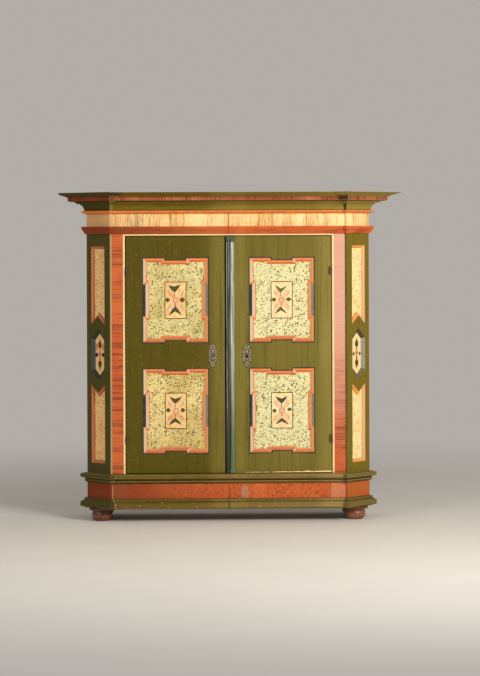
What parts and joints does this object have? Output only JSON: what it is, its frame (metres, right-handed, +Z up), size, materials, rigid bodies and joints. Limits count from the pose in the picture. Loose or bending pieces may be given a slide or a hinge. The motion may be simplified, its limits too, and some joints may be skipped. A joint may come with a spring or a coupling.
{
  "type": "two-door wardrobe",
  "caption": "Painted farmhouse wardrobe with cut corners, a heavy moulded crown, panelled doors that open outwards, a hat shelf, and bun feet.",
  "frame": {"origin": "on the floor, under the middle of the overall width and depth", "axes": "+X to the viewer's right, +Y from the doors to the back, +Z up"},
  "size_m": [1.976, 0.702, 1.854],
  "materials": {
    "green_paint": "aged oil paint on softwood, satin",
    "dark_green_paint": "aged oil paint on softwood, satin",
    "red_paint": "combed oil paint on softwood, satin",
    "cream_paint": "grained oil paint on softwood, satin",
    "grey_green_paint": "worn oil paint on softwood, satin",
    "dark_brown_paint": "worn oil paint on turned softwood",
    "raw_softwood": "unpainted, aged and matt",
    "dark_iron": "forged, darkened",
    "tinned_iron": "tinned sheet, tarnished"
  },
  "bodies": {
    "carcase": {"plinth_front_left": "red_paint", "plinth_front_right": "red_paint", "left_plinth_corner": "red_paint", "right_plinth_corner": "red_paint", "left_plinth_side": "red_paint", "right_plinth_side": "red_paint", "waist_front": "green_paint", "crown_front": "green_paint", "right_pilaster": "green_paint", "left_waist_corner": "dark_green_paint", "right_waist_corner": "dark_green_paint", "left_waist_side": "dark_green_paint", "right_waist_side": "dark_green_paint", "left_crown_corner": "dark_green_paint", "right_crown_corner": "dark_green_paint", "left_crown_side": "dark_green_paint", "right_crown_side": "dark_green_paint", "left_side_board": "dark_green_paint", "right_side_board": "dark_green_paint", "left_pilaster": "dark_green_paint", "frieze_front_left": "cream_paint", "frieze_front_right": "cream_paint", "left_frieze_corner": "cream_paint", "right_frieze_corner": "cream_paint", "left_frieze_side": "cream_paint", "right_frieze_side": "cream_paint", "left_stile": "red_paint", "right_stile": "red_paint", "head_rail": "cream_paint", "floor_board": "raw_softwood", "dust_board": "raw_softwood", "back": "raw_softwood", "hat_shelf": "raw_softwood", "front_left_foot": "dark_brown_paint", "front_right_foot": "dark_brown_paint", "rear_left_foot": "dark_brown_paint", "rear_right_foot": "dark_brown_paint", "left_upper_hinge_pin_half": "dark_iron", "left_lower_hinge_pin_half": "dark_iron", "right_upper_hinge_pin_half": "dark_iron", "right_lower_hinge_pin_half": "dark_iron"},
    "left_door": {"left_door_frame": "green_paint", "left_upper_panel": "cream_paint", "left_lower_panel": "cream_paint", "left_escutcheon": "tinned_iron", "left_upper_hinge_door_half": "dark_iron", "left_lower_hinge_door_half": "dark_iron", "upper_bolt_plate": "dark_iron", "lower_bolt_plate": "dark_iron"},
    "right_door": {"right_door_frame": "green_paint", "right_upper_panel": "cream_paint", "right_lower_panel": "cream_paint", "right_escutcheon": "tinned_iron", "right_upper_hinge_door_half": "dark_iron", "right_lower_hinge_door_half": "dark_iron", "astragal": "grey_green_paint", "lock_case": "dark_iron"},
    "lock_bolt": {"lock_bolt": "dark_iron"},
    "upper_bolt": {"upper_bolt": "dark_iron"},
    "lower_bolt": {"lower_bolt": "dark_iron"}
  },
  "joints": [
    {"name": "left_door_hinge", "type": "hinge", "parent": "carcase", "child": "left_door", "pos_m": [-0.5735, -0.08598, 0.94], "axis": [0, 0, -1], "range_deg": [0, 165]},
    {"name": "right_door_hinge", "type": "hinge", "parent": "carcase", "child": "right_door", "pos_m": [0.5735, -0.08598, 0.94], "axis": [0, 0, 1], "range_deg": [0, 165]},
    {"name": "lock_bolt_slide", "type": "slide", "parent": "right_door", "child": "lock_bolt", "axis": [-1, 0, 0], "range_m": [0, 0.02]},
    {"name": "upper_bolt_slide", "type": "slide", "parent": "left_door", "child": "upper_bolt", "axis": [0, 0, 1], "range_m": [0, 0.03]},
    {"name": "lower_bolt_slide", "type": "slide", "parent": "left_door", "child": "lower_bolt", "axis": [0, 0, -1], "range_m": [0, 0.03]}
  ]
}
